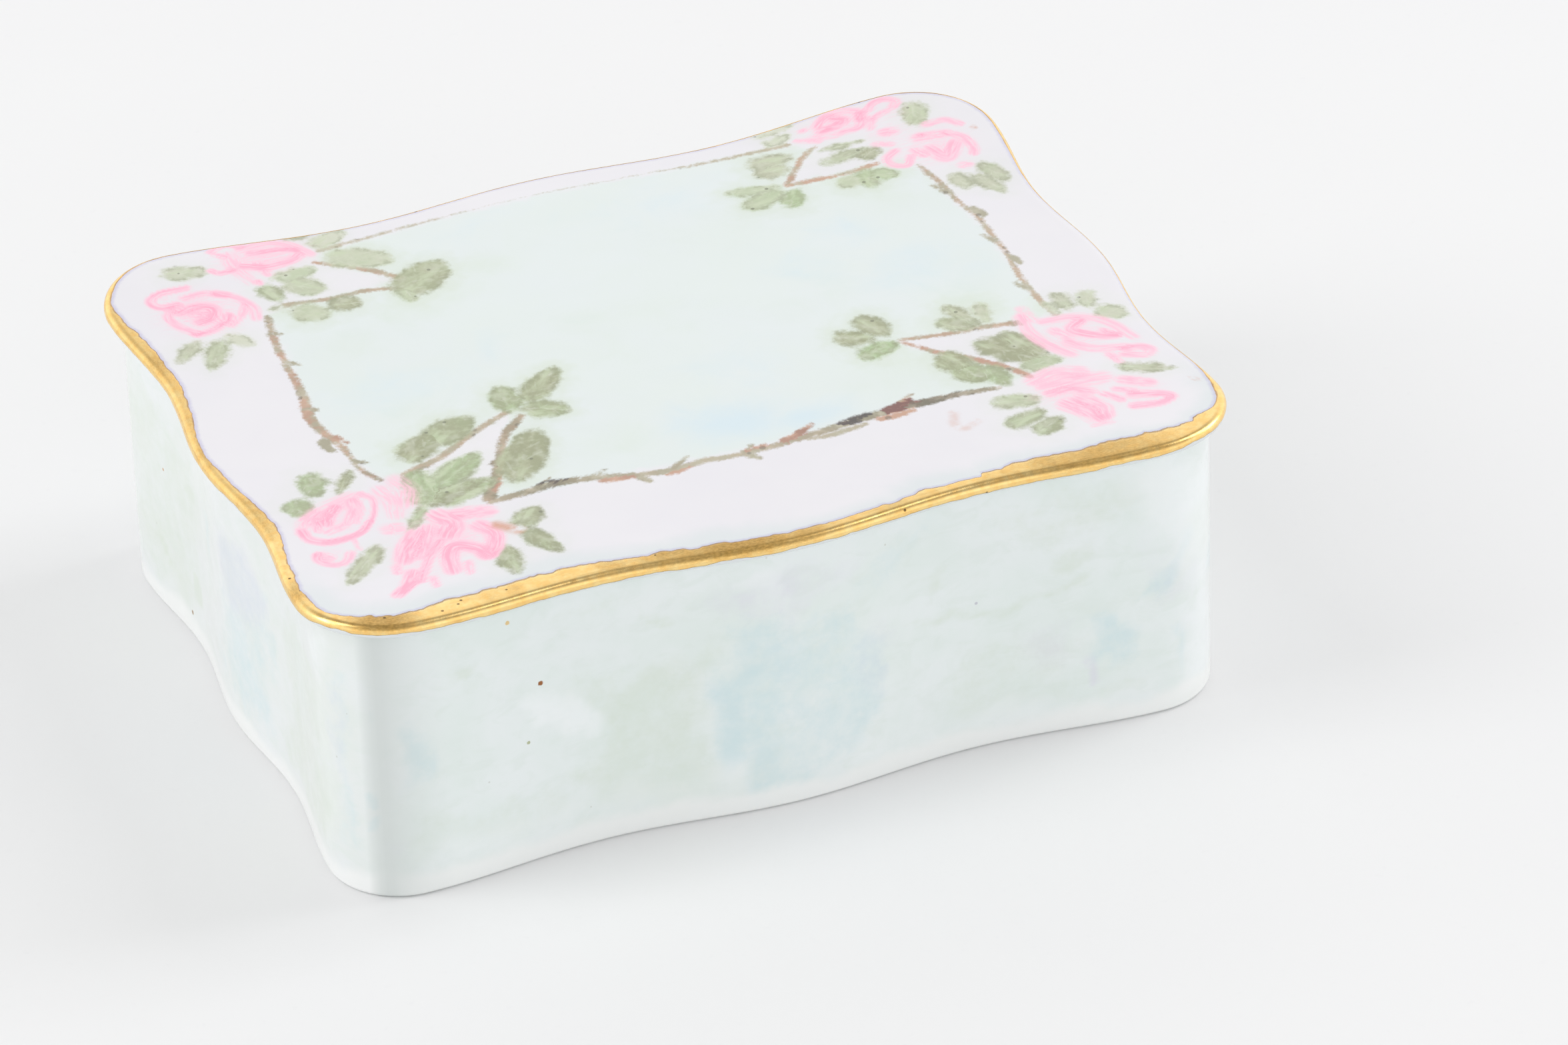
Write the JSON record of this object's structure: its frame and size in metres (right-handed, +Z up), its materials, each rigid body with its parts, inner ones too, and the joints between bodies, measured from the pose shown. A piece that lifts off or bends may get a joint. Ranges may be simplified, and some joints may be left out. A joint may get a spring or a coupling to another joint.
{
  "type": "porcelain trinket box",
  "caption": "Low rectangular porcelain box with serpentine sides and a loose flat lid, painted with rose sprays and edged in gilt.",
  "frame": {"origin": "on the table, under the middle of the box", "axes": "+X along the long side, +Y along the short side to the back, +Z up"},
  "size_m": [0.14, 0.11, 0.0471],
  "materials": {
    "base_glaze": "glossy glaze with a pale mint wash, bare biscuit on the foot ring",
    "lid_glaze": "glossy glaze with overglaze painting in pink, sage green and brown",
    "gilding": "fired burnished gold film, brushed on by hand round the lid's rim"
  },
  "bodies": {
    "base": {"box_base": "base_glaze"},
    "lid": {"lid": "lid_glaze"}
  },
  "joints": [
    {"name": "lid_lift", "type": "slide", "parent": "base", "child": "lid", "axis": [0, 0, 1], "range_m": [0, 0.07]}
  ]
}
